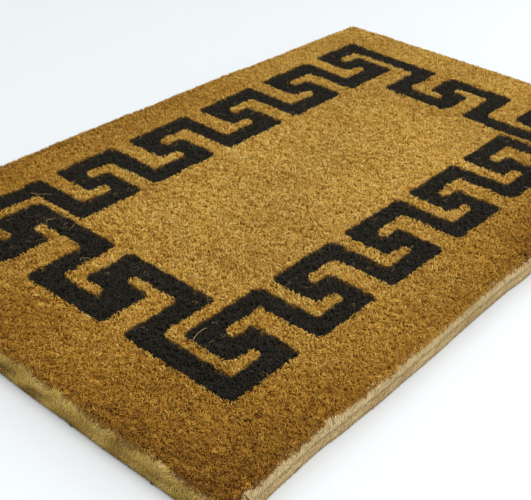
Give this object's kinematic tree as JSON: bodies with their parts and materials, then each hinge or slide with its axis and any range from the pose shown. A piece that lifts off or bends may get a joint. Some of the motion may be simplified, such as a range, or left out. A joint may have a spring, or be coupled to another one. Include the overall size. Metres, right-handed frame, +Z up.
{
  "type": "door mat",
  "caption": "Rectangular hand-woven coir door mat with thick cut pile and a dyed Greek-key band around a plain centre.",
  "frame": {"origin": "on the floor, under the middle of the mat", "axes": "+X along the mat's length, +Y across its width, +Z up out of the pile"},
  "size_m": [0.762, 0.457, 0.025],
  "materials": {
    "coir_pile": "matte cut coir pile, golden brown",
    "coir_pile_dyed": "matte cut coir pile, dyed black",
    "coir_yarn": "matte twisted coir yarn",
    "coir_edge_cord": "matte pale coir edging",
    "coir_twine": "matte dark coir twine"
  },
  "bodies": {
    "root": {"pile_outer_border": "coir_pile", "pile_centre_field": "coir_pile", "pile_key_band": "coir_pile_dyed", "warp_chain_01": "coir_yarn", "warp_chain_02": "coir_yarn", "warp_chain_03": "coir_yarn", "warp_chain_04": "coir_yarn", "warp_chain_05": "coir_yarn", "warp_chain_06": "coir_yarn", "warp_chain_07": "coir_yarn", "warp_chain_08": "coir_yarn", "warp_chain_09": "coir_yarn", "warp_chain_10": "coir_yarn", "warp_chain_11": "coir_yarn", "warp_chain_12": "coir_yarn", "warp_chain_13": "coir_yarn", "warp_chain_14": "coir_yarn", "warp_chain_15": "coir_yarn", "warp_chain_16": "coir_yarn", "warp_chain_17": "coir_yarn", "weft_yarn": "coir_yarn", "stuffer_warp_01": "coir_yarn", "stuffer_warp_02": "coir_yarn", "stuffer_warp_03": "coir_yarn", "stuffer_warp_04": "coir_yarn", "stuffer_warp_05": "coir_yarn", "stuffer_warp_06": "coir_yarn", "stuffer_warp_07": "coir_yarn", "stuffer_warp_08": "coir_yarn", "stuffer_warp_09": "coir_yarn", "stuffer_warp_10": "coir_yarn", "stuffer_warp_11": "coir_yarn", "stuffer_warp_12": "coir_yarn", "stuffer_warp_13": "coir_yarn", "stuffer_warp_14": "coir_yarn", "stuffer_warp_15": "coir_yarn", "stuffer_warp_16": "coir_yarn", "selvedge_cord_front": "coir_edge_cord", "selvedge_cord_back": "coir_edge_cord", "end_cord_left": "coir_edge_cord", "end_cord_right": "coir_edge_cord", "end_lashing_left": "coir_twine", "end_lashing_right": "coir_twine"}
  },
  "joints": []
}
